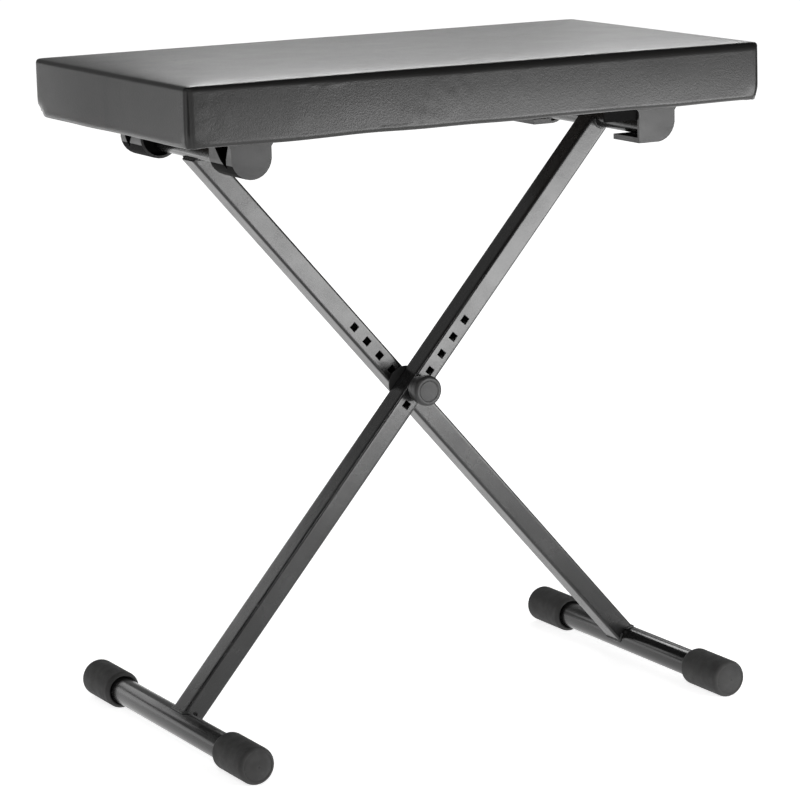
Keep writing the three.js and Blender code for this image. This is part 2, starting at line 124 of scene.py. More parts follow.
class Nodes:
    """Short calls for building one material's node tree."""

    def __init__(self, name):
        self.material = bpy.data.materials.new(name)
        self.material.use_nodes = True
        self.tree = self.material.node_tree
        self.shader = self.tree.nodes["Principled BSDF"]
        self.place = self.add("ShaderNodeTexCoord").outputs["Object"]

    def add(self, kind, **settings):
        node = self.tree.nodes.new(kind)
        for key, value in settings.items():
            setattr(node, key, value)
        return node

    def wire(self, source, node, socket):
        self.tree.links.new(source, node.inputs[socket])
        return node

    def set(self, **values):
        for key, value in values.items():
            self.shader.inputs[key.replace("_", " ")].default_value = value

    def noise(self, scale, detail=3, roughness=0.5, place=None):
        node = self.add("ShaderNodeTexNoise")
        node.inputs["Scale"].default_value = scale
        node.inputs["Detail"].default_value = detail
        node.inputs["Roughness"].default_value = roughness
        self.wire(place or self.place, node, "Vector")
        return node.outputs["Fac"]

    def stretched(self, scale):
        node = self.add("ShaderNodeMapping")
        node.inputs["Scale"].default_value = scale
        self.wire(self.place, node, "Vector")
        return node.outputs["Vector"]

    def cells(self, scale, feature="F1"):
        node = self.add("ShaderNodeTexVoronoi", feature=feature)
        node.inputs["Scale"].default_value = scale
        self.wire(self.place, node, "Vector")
        return node.outputs["Distance"]

    def remap(self, source, low, high, to_low=0.0, to_high=1.0):
        node = self.add("ShaderNodeMapRange")
        for key, value in zip(("From Min", "From Max", "To Min", "To Max"), (low, high, to_low, to_high)):
            node.inputs[key].default_value = value
        self.wire(source, node, "Value")
        return node.outputs["Result"]

    def blend(self, amount, dark, light):
        node = self.add("ShaderNodeMix", data_type="RGBA")
        node.inputs["A"].default_value = (*dark, 1)
        node.inputs["B"].default_value = (*light, 1)
        self.wire(amount, node, "Factor")
        return node.outputs["Result"]

    def math(self, operation, first, second):
        node = self.add("ShaderNodeMath", operation=operation)
        for i, value in enumerate((first, second)):
            if isinstance(value, (int, float)):
                node.inputs[i].default_value = value
            else:
                self.tree.links.new(value, node.inputs[i])
        return node.outputs["Value"]

    def edges(self, low=0.51, high=0.56):
        """0 on flats and 1 on sharp outer edges."""
        return self.remap(self.add("ShaderNodeNewGeometry").outputs["Pointiness"], low, high)

    def bump(self, height, strength, distance, under=None):
        node = self.add("ShaderNodeBump")
        node.inputs["Strength"].default_value = strength
        node.inputs["Distance"].default_value = distance
        self.wire(height, node, "Height")
        if under is not None:
            self.wire(under, node, "Normal")
        return node.outputs["Normal"]

    def colour(self, source):
        self.wire(source, self.shader, "Base Color")

    def roughness(self, source):
        self.wire(source, self.shader, "Roughness")

    def normal(self, source):
        self.wire(source, self.shader, "Normal")


def grey(value, warmth=0.0):
    return (value * (1 + warmth), value, value * (1 - warmth))


# ---------------------------------------------------------------- materials


def leatherette():
    """Black embossed vinyl: fine irregular pebbles, a soft sheen and faint handling marks."""
    n = Nodes("leatherette")
    pebbles = n.cells(780, feature="SMOOTH_F1")
    pores = n.cells(1900)
    hide = n.noise(330, detail=3, roughness=0.6)
    folds = n.noise(9, detail=4, place=n.stretched((1.0, 1.6, 2.2)))
    grain = n.bump(pebbles, 0.13, 0.0005)
    grain = n.bump(pores, 0.06, 0.0003, under=grain)
    grain = n.bump(hide, 0.06, 0.0007, under=grain)
    grain = n.bump(folds, 0.03, 0.003, under=grain)
    n.normal(grain)
    n.colour(n.blend(n.noise(14, detail=5), grey(0.009, 0.02), grey(0.014, 0.02)))
    worn = n.math("ADD", n.noise(22, detail=4), n.math("MULTIPLY", pebbles, 0.4))
    n.roughness(n.remap(worn, 0.3, 0.9, 0.27, 0.35))
    n.set(Specular_IOR_Level=0.37)
    return n.material


def powder_coat(name, base, low, high, peel):
    """Sprayed black paint: orange peel, fine flecks, slightly polished outer edges."""
    n = Nodes(name)
    skin = n.bump(n.noise(900, detail=2), peel, 0.0004)
    skin = n.bump(n.noise(150, detail=2), peel * 0.6, 0.001, under=skin)
    n.normal(skin)
    cloud = n.noise(30, detail=4)
    paler = n.math("MAXIMUM", n.remap(cloud, 0.3, 0.7, 0, 0.6), n.edges())
    n.colour(n.blend(paler, grey(base), grey(base * 1.9)))
    n.roughness(n.remap(cloud, 0.3, 0.7, low, high))
    n.set(Specular_IOR_Level=0.5)
    return n.material


def cap_rubber():
    """Matt black rubber with a fine sandy grain, dusty on its edges."""
    n = Nodes("cap_rubber")
    sand = n.bump(n.noise(2400, detail=3, roughness=0.7), 0.5, 0.0004)
    sand = n.bump(n.noise(60, detail=3), 0.15, 0.001, under=sand)
    n.normal(sand)
    patches = n.math("MULTIPLY", n.noise(45, detail=5), 0.6)
    dust = n.math("ADD", patches, n.math("MULTIPLY", n.edges(0.5, 0.58), 0.4))
    n.colour(n.blend(dust, grey(0.028), grey(0.05, 0.02)))
    n.roughness(n.remap(n.noise(120), 0.3, 0.7, 0.68, 0.86))
    n.set(Specular_IOR_Level=0.4)
    return n.material


def moulded_plastic(name, base, low, high, grain=0.25, shine=0.5):
    """Injection-moulded black plastic: a fine spark-eroded texture and faint flow clouds."""
    n = Nodes(name)
    spark = n.bump(n.noise(3000, detail=2, roughness=0.6), grain, 0.0002)
    spark = n.bump(n.noise(40, detail=2), 0.12, 0.002, under=spark)
    n.normal(spark)
    flow = n.noise(24, detail=4, place=n.stretched((1.0, 1.0, 2.5)))
    shade = n.math("ADD", n.math("MULTIPLY", flow, 0.6), n.math("MULTIPLY", n.edges(), 0.6))
    n.colour(n.blend(shade, grey(base * 0.8), grey(base * 1.5)))
    n.roughness(n.remap(flow, 0.3, 0.7, low, high))
    n.set(Specular_IOR_Level=shine)
    return n.material


def plywood():
    """Dark-stained rotary-cut veneer: long grain along X with open pores."""
    n = Nodes("plywood")
    rings = n.noise(30, detail=6, roughness=0.6, place=n.stretched((0.12, 1.0, 1.0)))
    pores = n.noise(900, detail=2, place=n.stretched((0.03, 1.0, 1.0)))
    tone = n.math("ADD", n.remap(rings, 0.3, 0.7, 0, 0.7), n.remap(pores, 0.55, 0.8, 0, 0.4))
    n.colour(n.blend(tone, (0.035, 0.026, 0.019), (0.014, 0.011, 0.009)))
    n.normal(n.bump(pores, 0.3, 0.0004))
    n.roughness(n.remap(rings, 0.3, 0.7, 0.6, 0.8))
    return n.material


def foam():
    """Open-cell foam, pale and slightly yellowed."""
    n = Nodes("foam")
    pores = n.cells(900)
    n.colour(n.blend(pores, (0.5, 0.45, 0.3), (0.75, 0.7, 0.52)))
    n.normal(n.bump(pores, 0.6, 0.001))
    n.roughness(n.remap(pores, 0, 0.6, 0.85, 0.98))
    return n.material


def bright_metal(name, light, dark, low, high):
    """Plated or turned metal: fine lines and cloudy tarnish."""
    n = Nodes(name)
    lines = n.noise(1500, detail=2, place=n.stretched((1.0, 0.05, 1.0)))
    cloud = n.noise(180, detail=4)
    n.colour(n.blend(n.remap(cloud, 0.35, 0.75), light, dark))
    n.normal(n.bump(lines, 0.15, 0.0002))
    n.roughness(n.remap(cloud, 0.3, 0.7, low, high))
    n.set(Metallic=1.0)
    return n.material


def weld_metal():
    """A weld bead under black paint, with the ripple of its run."""
    n = Nodes("painted_weld")
    n.normal(n.bump(n.noise(700, detail=3), 0.5, 0.0006))
    n.colour(n.blend(n.noise(60, detail=3), grey(0.012), grey(0.03)))
    n.roughness(n.remap(n.noise(200), 0.3, 0.7, 0.28, 0.5))
    return n.material


MATERIALS = {
    "leatherette": leatherette(),
    "foam": foam(),
    "plywood": plywood(),
    "black_steel": powder_coat("black_steel", 0.009, 0.2, 0.3, 0.1),
    "foot_steel": powder_coat("foot_steel", 0.009, 0.14, 0.22, 0.05),
    "cap_rubber": cap_rubber(),
    "bracket_plastic": moulded_plastic("bracket_plastic", 0.014, 0.4, 0.5),
    # Rough plastic for the brackets' inside faces and guide rib; its near-black colour is painted shade.
    "bracket_painted_shade": moulded_plastic("bracket_painted_shade", 0.003, 0.85, 0.95, 0.5, shine=0.12),
    "knob_plastic": moulded_plastic("knob_plastic", 0.016, 0.42, 0.55),
    "glide_plastic": moulded_plastic("glide_plastic", 0.014, 0.4, 0.55),
    "zinc_steel": bright_metal("zinc_steel", grey(0.62, -0.01), grey(0.4, 0.01), 0.22, 0.42),
    "brass": bright_metal("brass", (0.68, 0.48, 0.2), (0.42, 0.28, 0.11), 0.25, 0.45),
    "painted_weld": weld_metal(),
}

# ---------------------------------------------------------------- mesh helpers


def finish_piece(piece, body, slot, nodes=(), material=None):
    """Gives a piece the material named by its slot (or another one), puts it on its body, and hides the
    CAD nodes that it stands for.
    """
    piece.data.materials.clear()
    piece.data.materials.append(MATERIALS[material or slot])
    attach(piece, body)
    if nodes:
        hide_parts(*nodes)


def as_object(name, bm, sharp=35):
    bmesh.ops.recalc_face_normals(bm, faces=bm.faces)
    mesh = bpy.data.meshes.new(name)
    bm.to_mesh(mesh)
    bm.free()
    mesh.shade_smooth()
    mesh.set_sharp_from_angle(angle=math.radians(sharp))
    piece = bpy.data.objects.new(name, mesh)
    bpy.context.scene.collection.objects.link(piece)
    return piece


def rounded(profile, steps=4):
    """A profile of (radius, depth, fillet) points with each filleted corner turned into an arc."""
    points = []
    last = len(profile) - 1
    for i, (x, y, fillet) in enumerate(profile):
        here = Vector((x, y))
        if fillet == 0 or i in (0, last):
            points.append(here)
            continue
        before = (Vector(profile[i - 1][:2]) - here).normalized()
        after = (Vector(profile[i + 1][:2]) - here).normalized()
        half = before.angle(after) / 2
        reach = fillet / math.tan(half)
        centre = here + (before + after).normalized() * fillet / math.sin(half)
        spoke = here + before * reach - centre
        sweep = (here + after * reach - centre).angle_signed(spoke)
        for k in range(steps + 1):
            points.append(centre + Matrix.Rotation(sweep * k / steps, 2) @ spoke)
    return points


def arc(centre, radii, start, end, steps):
    """Profile points along an arc, from one angle to another in degrees."""
    angles = [math.radians(start + (end - start) * k / steps) for k in range(steps + 1)]
    return [(centre[0] + radii[0] * math.cos(a), centre[1] + radii[1] * math.sin(a), 0) for a in angles]


def turned_mesh(profile, centre, direction=1, segments=72):
    """A body turned about an axis along Y, from (radius, depth, fillet) points in millimetres.

    The profile starts and ends on the axis, or else it closes on itself.
    """
    bm = bmesh.new()
    rings = []
    for radius, depth in rounded(profile):
        y = centre.y + direction * depth * MM
        count = segments if radius > 1e-6 else 1
        ring = []
        for k in range(count):
            angle = 2 * math.pi * k / segments
            x = centre.x + radius * MM * math.cos(angle)
            z = centre.z + radius * MM * math.sin(angle)
            ring.append(bm.verts.new((x, y, z)))
        rings.append(ring)
    if profile[0][0] > 0:
        rings.append(rings[0])
    for a, b in zip(rings, rings[1:]):
        for k in range(segments):
            m = (k + 1) % segments
            corners = dict.fromkeys((a[k % len(a)], a[m % len(a)], b[m % len(b)], b[k % len(b)]))
            if len(corners) > 2:
                bm.faces.new(corners)
    return bm


def turned(name, profile, centre, direction=1, segments=72):
    return as_object(name, turned_mesh(profile, centre, direction, segments))


def add_box(bm, centre, half, turn=0.0):
    """A box added to a mesh, turned about Z."""
    place = Matrix.Translation(centre) @ Matrix.Rotation(turn, 4, "Z") @ Matrix.Diagonal((*(2 * half), 1))
    bmesh.ops.create_cube(bm, size=1, matrix=place)


def soften(piece, width, angle=35):
    """Rounds a piece's sharp edges slightly."""
    bevel = piece.modifiers.new("soft_edges", "BEVEL")
    bevel.width = width
    bevel.segments = 2
    bevel.limit_method = "ANGLE"
    bevel.angle_limit = math.radians(angle)
    return piece


def bead(name, path, radius, seed):
    """A rippled weld bead along a path of (point, outward direction) pairs."""
    bm = bmesh.new()
    sides = 10
    last = len(path) - 1
    rings = []
    for i, (point, outward) in enumerate(path):
        after = path[min(i + 1, last)][0]
        before = path[max(i - 1, 0)][0]
        across = (after - before).cross(outward).normalized()
        outward = across.cross(after - before).normalized()
        taper = min(1, 0.4 + 0.3 * min(i, last - i))
        ripple = 1 + 0.1 * math.sin(i * 2.1) + 0.2 * noise.noise(point / (6 * MM) + Vector((seed, 0, 0)))
        ring = []
        for k in range(sides):
            angle = 2 * math.pi * k / sides
            spoke = across * math.cos(angle) + outward * math.sin(angle)
            ring.append(bm.verts.new(point + spoke * radius * taper * ripple))
        rings.append(ring)
    for a, b in zip(rings, rings[1:]):
        for k in range(sides):
            bm.faces.new((a[k], a[(k + 1) % sides], b[(k + 1) % sides], b[k]))
    bm.faces.new(rings[0])
    bm.faces.new(rings[-1])
    return as_object(name, bm, 80)


# ---------------------------------------------------------------- legs

NOTCH_HALF = 2.6 * MM
NOTCH_HEIGHT = 3.5 * MM
LEG_TOP = 3 * MM                    # the least distance from the tube's end to the crossbar's axis
WELD_RADIUS = 1.3 * MM
BAR_WELD_RADIUS = 1.2 * MM
BAR_WELD_GAP = 0.3 * MM             # from the crossbar's surface to the bead's middle

# Where the tube's walls are divided: across it (with the notch's and the holes' edges), and front to back.
ROWS = [v * MM for v in (-7.8, -6.6, -5.5, -4.4, -3.25, -2.6, -1.6, 0, 1.6, 2.6, 3.25, 4.4, 5.5, 6.6, 7.8)]
COLUMNS = [y * MM for y in (-10.3, -7.5, -5, -2.5, 0, 2.5, 5, 7.5, 10.3)]

# Where it is divided along its length, below and above the square holes, from the foot tube's axis.
BELOW_HOLES = [u * MM for u in (18, 60, 150, 250)]
ABOVE_HOLES = [u * MM for u in (560, 630, 672)]


class Leg:
    """One leg's own directions: along it from the foot's axis, across it, and front to back."""

    def __init__(self, node, foot_side, bar_side):
        self.node = node
        self.low = Vector((FOOT[foot_side].x, 0, FOOT[foot_side].z))
        self.high = Vector((CROSSBAR[bar_side].x, 0, CROSSBAR[bar_side].z))
        self.along = (self.high - self.low).normalized()
        self.across = Vector((-self.along.z, 0, self.along.x))
        self.length = (self.high - self.low).length
        self.bolt = (Vector((PIVOT.x, 0, PIVOT.z)) - self.low).length
        self.y = middle(node).y
        self.depth = size(node).y
        self.foot_radius = size(f"{foot_side}_foot_tube").z / 2
        self.bar_radius = size(f"{bar_side}_crossbar").z / 2

    def point(self, u, v, y):
        return self.low + self.along * u + self.across * v + Vector((0, self.y + y, 0))

    def start(self, v, y):
        """Where the tube begins on the foot tube, with a drain notch in its front wall."""
        u = math.sqrt(self.foot_radius ** 2 - v ** 2)
        if y < LEG_WALL - self.depth / 2 and abs(v) < NOTCH_HALF:
            u += NOTCH_HEIGHT * math.sqrt(1 - (v / NOTCH_HALF) ** 2)
        return u

    def end(self, v):
        """Where the tube ends, round the crossbar that lies in its notch."""
        reach = math.sqrt(max(self.bar_radius ** 2 - v ** 2, 0))
        return self.length - max(reach, LEG_TOP)


def leg_section(depth, inset):
    """Points (across, y) round a leg tube: front wall, upper wall, rear wall, lower wall."""
    half_v = LEG_WIDTH / 2 - inset
    half_y = depth / 2 - inset
    corner = LEG_CORNER - inset
    points = []

    def add_corner(v, y, start):
        for k in range(1, 5):
            angle = math.radians(start + 18 * k)
            points.append((v + corner * math.cos(angle), y + corner * math.sin(angle)))

    points += [(v, -half_y) for v in ROWS]
    add_corner(half_v - corner, -half_y + corner, -90)
    points += [(half_v, y) for y in COLUMNS]
    add_corner(half_v - corner, half_y - corner, 0)
    points += [(v, half_y) for v in reversed(ROWS)]
    add_corner(-half_v + corner, half_y - corner, 90)
    points += [(-half_v, y) for y in reversed(COLUMNS)]
    add_corner(-half_v + corner, -half_y + corner, 180)
    return points


def leg_tube(leg, body):
    """A hollow rectangular tube, closed at its top, with square holes through its front and rear walls."""
    hole_edges = []
    for i in HOLES:
        centre = leg.bolt + i * HOLE_PITCH
        hole_edges += [centre - HOLE_HALF, centre + HOLE_HALF]
    cuts = [None, *BELOW_HOLES, *hole_edges, *ABOVE_HOLES, None]
    sections = [leg_section(leg.depth, inset) for inset in (0, LEG_WALL)]
    bm = bmesh.new()
    shells = []
    for section in sections:
        rings = []
        for k, u in enumerate(cuts):
            ring = []
            for v, y in section:
                reach = leg.start(v, y) if k == 0 else leg.end(v) if u is None else u
                ring.append(bm.verts.new(leg.point(reach, v, y)))
            rings.append(ring)
        shells.append(rings)
    partner = {}
    for outer, inner in zip(*shells):
        partner.update(zip(outer, inner))

    def is_hole(k, i, j):
        if cuts[k] not in hole_edges or hole_edges.index(cuts[k]) % 2:
            return False
        ends = (sections[0][i], sections[0][j])
        on_wall = all(abs(abs(y) - leg.depth / 2) < 1e-6 for v, y in ends)
        return on_wall and all(abs(v) < HOLE_HALF + 1e-6 for v, y in ends)

    count = len(sections[0])
    for k in range(len(cuts) - 1):
        for i in range(count):
            j = (i + 1) % count
            if is_hole(k, i, j):
                continue
            for rings in shells:
                bm.faces.new((rings[k][i], rings[k][j], rings[k + 1][j], rings[k + 1][i]))
    bm.faces.new(shells[0][-1])
    rims = [e for e in bm.edges if len(e.link_faces) == 1 and e.verts[0] in partner]
    for edge in rims:
        a, b = edge.verts
        bm.faces.new((a, b, partner[b], partner[a]))
    tube = soften(as_object(f"{body}_tube_looks", bm, 40), 0.35 * MM, 50)
    finish_piece(tube, body, "black_steel", [leg.node])


def foot_weld(leg, body):
    """The bead round the leg's lower end, which leaves the drain notch open."""
    section = leg_section(leg.depth, 0)
    gap = len(ROWS) // 2
    path = []
    for v, y in section[gap + 2:] + section[:gap - 1]:
        outward = leg.across * (v / (LEG_WIDTH / 2)) ** 9 + Vector((0, (y / (leg.depth / 2)) ** 9, 0))
        u = math.sqrt(leg.foot_radius ** 2 - v ** 2)
        path.append((leg.point(u + 0.2 * MM, v, y), outward.normalized()))
    weld = bead(f"{body}_foot_weld", path, WELD_RADIUS, 3)
    finish_piece(weld, body, "black_steel", material="painted_weld")


def bar_welds(leg, body):
    """Short beads where the crossbar lies in the leg's top end, front and rear."""
    for end, name in ((-1, "front"), (1, "rear")):
        path = []
        for k in range(25):
            angle = math.radians(-72 + 6 * k)
            spoke = -leg.along * math.cos(angle) + leg.across * math.sin(angle)
            point = leg.high + spoke * (leg.bar_radius + BAR_WELD_GAP)
            point += Vector((0, leg.y + end * leg.depth / 2, 0))
            path.append((point, (spoke + Vector((0, end, 0))).normalized()))
        weld = bead(f"{body}_bar_weld_{name}", path, BAR_WELD_RADIUS, 7 + end)
        finish_piece(weld, body, "black_steel", material="painted_weld")


def crossbar(side, body):
    node = f"{side}_crossbar"
    low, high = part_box(node)
    radius = (high.z - low.z) / 2 / MM
    length = (high.y - low.y) / MM
    profile = [(0, 0, 0), (radius, 0, 0.7), (radius, length, 0.7), (0, length, 0)]
    bar = turned(f"{node}_looks", profile, Vector((CROSSBAR[side].x, low.y, CROSSBAR[side].z)), 1, 48)
    finish_piece(bar, body, "black_steel", [node])


def foot_tube(side, body):
    node = f"{side}_foot_tube"
    low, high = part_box(node)
    radius = (high.z - low.z) / 2 / MM
    length = (high.y - low.y) / MM
    bore = radius - LEG_WALL / MM
    profile = [(bore, 0, 0), (radius, 0, 0.4), (radius, length, 0.4), (bore, length, 0)]
    tube = turned(f"{node}_looks", profile, Vector((FOOT[side].x, low.y, FOOT[side].z)), 1, 96)
    finish_piece(tube, body, "foot_steel", [node])


def foot_cap(side, end, body):
    """A rubber cup: flared mouth, rounded shoulder, and a shallow dome in a moulded groove."""
    node = f"{side}_foot_cap_{'front' if end < 0 else 'rear'}"
    low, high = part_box(node)
    mouth = min(abs(low.y), abs(high.y)) / MM
    tip = max(abs(low.y), abs(high.y)) / MM
    radius = (high.z - low.z) / 2 / MM
    bore = size(f"{side}_foot_tube").z / 2 / MM + 0.15
    floor = tip - 7.5
    profile = [
        (0, floor, 0),
        (bore, floor, 0.5),
        (bore, mouth + 5, 1.5),
        (bore + 1.5, mouth, 0.2),
        (radius - 2.1, mouth, 0.6),
        (radius, mouth + 4, 2.5),
        *arc((radius - 4.4, tip - 7.2), (4.4, 5.0), 0, 78, 9),
        (radius - 3.9, tip - 2.4, 0.2),
        *arc((0, tip - 8.2), (19, 8.0), 43, 86, 10),
        (0.9, tip - 0.6, 0.3),
        (0, tip - 0.6, 0),
    ]
    cap = turned(f"{node}_looks", profile, Vector((FOOT[side].x, 0, FOOT[side].z)), end)
    finish_piece(cap, body, "cap_rubber", [node])


def leg_frame(node, body, foot_side, bar_side):
    leg = Leg(node, foot_side, bar_side)
    leg_tube(leg, body)
    foot_weld(leg, body)
    bar_welds(leg, body)
    crossbar(bar_side, body)
    foot_tube(foot_side, body)
    for end in (-1, 1):
        foot_cap(foot_side, end, body)


# ---------------------------------------------------------------- pivot


def disc(node, body, slot, bore, fillet):
    """A flat ring in place of a CAD washer or insert."""
    low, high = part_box(node)
    radius = (high.z - low.z) / 2 / MM
    thick = (high.y - low.y) / MM
    profile = [
        (bore, 0, fillet),
        (radius, 0, fillet),
        (radius, thick, fillet),
        (bore, thick, fillet),
        (bore, 0.1, 0),
    ]
    ring = turned(f"{node}_looks", profile, Vector((PIVOT.x, low.y, PIVOT.z)), 1, 48)
    finish_piece(ring, body, slot, [node])


def pivot_bolt():
    """A carriage bolt from the rear: domed head, square neck and shank."""
    low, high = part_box("pivot_bolt")
    head_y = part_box("rear_leg_tube")[1].y
    dome = (high.y - head_y) / MM
    radius = (high.z - low.z) / 2 / MM
    length = (head_y - low.y) / MM
    shank = 3.0
    chamfer = 0.8
    profile = [
        (0, -length, 0),
        (shank - chamfer, -length, 0),
        (shank, -length + chamfer, 0),
        (shank, 0, 0),
        (radius, 0, 0.3),
        (radius, 0.6, 0.2),
        *arc((0, 0), (radius, dome), 12, 90, 10),
    ]
    profile[-1] = (0, dome, 0)      # exactly on the axis
    bm = turned_mesh(profile, Vector((PIVOT.x, head_y, PIVOT.z)), 1, 48)
    neck = Vector((HOLE_HALF - 0.3 * MM, 2 * MM, HOLE_HALF - 0.3 * MM))
    add_box(bm, Vector((PIVOT.x, head_y - neck.y, PIVOT.z)), neck)
    finish_piece(as_object("pivot_bolt_looks", bm), "rear_leg", "zinc_steel", ["pivot_bolt"])


def knob():
    """Collar, groove, and a larger cap with a soft rim and a faint ring in its face."""
    low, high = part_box("clamp_knob")
    radius = (high.z - low.z) / 2 / MM
    length = (high.y - low.y) / MM
    profile = [
        (0, 12.5, 0),
        (5.3, 12.5, 0.3),
        (5.3, 0, 0.4),
        (radius - 2.8, 0, 0.3),
        (radius - 1.9, 1.0, 0.5),
        (radius - 1.7, 7.0, 0.4),
        (radius - 3.0, 7.6, 0.2),
        (radius - 3.0, 9.0, 0.2),
        (radius - 2.0, 9.0, 0),
        *arc((radius - 1.6, 10.6), (1.6, 1.6), -90, 0, 5),
        *arc((radius - 3.2, length - 3.3), (3.2, 3.3), 0, 84, 8),
        (radius - 4.2, length - 0.25, 0.2),
        (radius - 4.6, length - 0.55, 0.2),
        (radius - 5.1, length - 0.2, 0.2),
        (4, length, 4),
        (0, length, 0),
    ]
    piece = turned("clamp_knob_looks", profile, Vector((PIVOT.x, high.y, PIVOT.z)), -1, 96)
    finish_piece(piece, "knob", "knob_plastic", ["clamp_knob"])


# ---------------------------------------------------------------- brackets and screws

BRACKET_HALF = 19.5 * MM
FLANGE_REACH = 11 * MM
RIB_LENGTH = 36 * MM
RIB_INSET = 4.2 * MM
RIB_THICK = 2.4 * MM
WEB_WALL = 1.6 * MM                 # between the web's rim and the bracket's outside
WEB_INSET = 9 * MM
WEB_THICK = 2 * MM
SKIN = 3.2 * MM


def outer_side(low, high):
    """-1 for a bracket at the front and 1 for one at the rear."""
    return -1 if low.y + high.y < 0 else 1


def add_guide_rib(bm, low, high):
    """A rib above the open mouth, which leads the crossbar in under the seat."""
    end = outer_side(low, high)
    edge = (low.x + high.x) / 2 - BRACKET_HALF + 1 * MM
    y = (low.y if end < 0 else high.y) - end * RIB_INSET
    bottom = CROSSBAR["right"].z + size("right_crossbar").z / 2 + 1.6 * MM
    half = Vector((RIB_LENGTH / 2, RIB_THICK / 2, (high.z - 0.5 * MM - bottom) / 2))
    add_box(bm, Vector((edge - half.x, y, bottom + half.z)), half)


def add_inner_web(bm, low, high):
    """A thin web just inside the open end."""
    end = outer_side(low, high)
    centre_x = (low.x + high.x) / 2
    radius = BRACKET_HALF - WEB_WALL
    y = (high.y if end < 0 else low.y) + end * WEB_INSET
    round_z = low.z + BRACKET_HALF
    place = Matrix.Translation((centre_x, y, round_z)) @ Matrix.Rotation(math.pi / 2, 4, "X")
    bmesh.ops.create_cone(
        bm, cap_ends=True, segments=48, radius1=radius, radius2=radius, depth=WEB_THICK, matrix=place
    )
    half = Vector((radius, WEB_THICK / 2, (high.z - 2 * MM - round_z) / 2))
    add_box(bm, Vector((centre_x, y, round_z + half.z)), half)


def bracket(node):
    """The CAD bracket with softened edges, a rib or a web added, and painted shade: its inside faces and
    its rib are rougher and coloured near black.
    """
    bm = bmesh.new()
    bm.from_mesh(frame["nodes"][node].data)
    bmesh.ops.remove_doubles(bm, verts=bm.verts, dist=0.02 * MM)
    bmesh.ops.dissolve_limit(bm, angle_limit=math.radians(1), verts=bm.verts, edges=bm.edges)
    low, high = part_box(node)
    if node.startswith("hook"):
        add_guide_rib(bm, low, high)
    else:
        add_inner_web(bm, low, high)
    piece = soften(as_object(f"{node}_looks", bm, 30), 0.4 * MM)
    finish_piece(piece, "seat", "bracket_plastic", [node])
    # A second, near-black material as painted shade on the inside faces and on the guide rib.
    piece.data.materials.append(MATERIALS["bracket_painted_shade"])
    centre_x = (low.x + high.x) / 2
    for face in piece.data.polygons:
        c = face.center
        deep_y = low.y + SKIN < c.y < high.y - SKIN
        deep_x = abs(c.x - centre_x) < BRACKET_HALF - 0.8 * MM
        on_rib = c.x < centre_x - BRACKET_HALF - FLANGE_REACH + 1 * MM
        if on_rib or (deep_x and deep_y and low.z + 1.2 * MM < c.z):
            face.material_index = 1


def screw_mesh(head_radius, head_height, shank_radius, length):
    """A pan-head screw along +Z, head down, with a cross recess."""
    bm = turned_mesh([
        (0, 0, 0),
        *arc((0, head_height), (head_radius, head_height), -82, -8, 8),
        (head_radius, head_height, 0.2),
        (shank_radius, head_height, 0.3),
        (shank_radius, length - 2, 0),
        (0, length, 0),
    ], Vector((0, 0, 0)), 1, 32)
    bmesh.ops.rotate(bm, verts=bm.verts, matrix=Matrix.Rotation(math.radians(90), 3, "X"))
    blank = as_object("screw_blank", bm)
    cutter_mesh = bmesh.new()
    for turn in (0, math.pi / 2):
        add_box(cutter_mesh, Vector((0, 0, 0)), Vector((2.3, 0.45, 1.3)) * MM, turn + 0.4)
    cutter = as_object("screw_cutter", cutter_mesh)
    cut = blank.modifiers.new("recess", "BOOLEAN")
    cut.operation = "DIFFERENCE"
    cut.object = cutter
    cut.use_self = True
    shown = blank.evaluated_get(bpy.context.evaluated_depsgraph_get())
    mesh = bpy.data.meshes.new_from_object(shown)
    for spare in (blank, cutter):
        bpy.data.objects.remove(spare)
    mesh.shade_smooth()
    mesh.set_sharp_from_angle(angle=math.radians(35))
    return mesh


def screws():
    nodes = [name for name in frame["nodes"] if name.startswith("bracket_screw_")]
    box_low, box_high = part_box(nodes[0])
    mesh = screw_mesh((box_high.x - box_low.x) / 2 / MM, 2.4, 2.0, (box_high.z - box_low.z) / MM)
    for i, node in enumerate(sorted(nodes)):
        low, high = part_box(node)
        screw = bpy.data.objects.new(f"{node}_looks", mesh.copy())
        bpy.context.scene.collection.objects.link(screw)
        centre = (low + high) / 2
        place = Matrix.Translation((centre.x, centre.y, low.z))
        screw.matrix_world = place @ Matrix.Rotation(i * 1.3, 4, "Z")
        finish_piece(screw, "seat", "zinc_steel", [node])


# ---------------------------------------------------------------- seat

SIDE_EDGE = 3.2 * MM
REAR_EDGE = 5 * MM
FRONT_EDGE = (3.4 * MM, 6.5 * MM)
BOTTOM_EDGE = 4.5 * MM
MARGIN = 7.2 * MM                   # along each edge, where the mesh is finer
CORNER = 7 * MM                     # the corners' radius, seen from above
CREASE_DEPTH = 0.55 * MM
TUCK = 1.6 * MM
TUCK_BACK_LEFT = 5.5 * MM
TUCK_REACH = 11 * MM
CELL = 4 * MM
HEM = 26 * MM
CROWN = 3.2 * MM
CROWN_REACH = 42 * MM
SHOULDER = 1.1 * MM
SHOULDER_REACH = 8 * MM
SKIN_THICKNESS = 1.2 * MM
STAPLE_HALF = Vector((5.5, 0.6, 0.45)) * MM
STAPLE_INSET = HEM - 8 * MM
STAPLE_PITCH = 42 * MM


def stations(low, high, extra=()):
    """Places along one axis: a finer stretch at each rounded end, even cells between."""
    count = 7
    bend = [1 - math.tan(math.radians(45 * (count - i) / count)) for i in range(count + 1)]
    places = [low + MARGIN * t for t in bend]
    places += [high - MARGIN * t for t in bend]
    inner_low, inner_high = low + MARGIN, high - MARGIN
    cells = round((inner_high - inner_low) / CELL)
    places += [inner_low + (inner_high - inner_low) * i / cells for i in range(1, cells)]
    places = [p for p in places if all(abs(p - e) > CELL / 3 for e in extra)] + list(extra)
    return sorted(places)


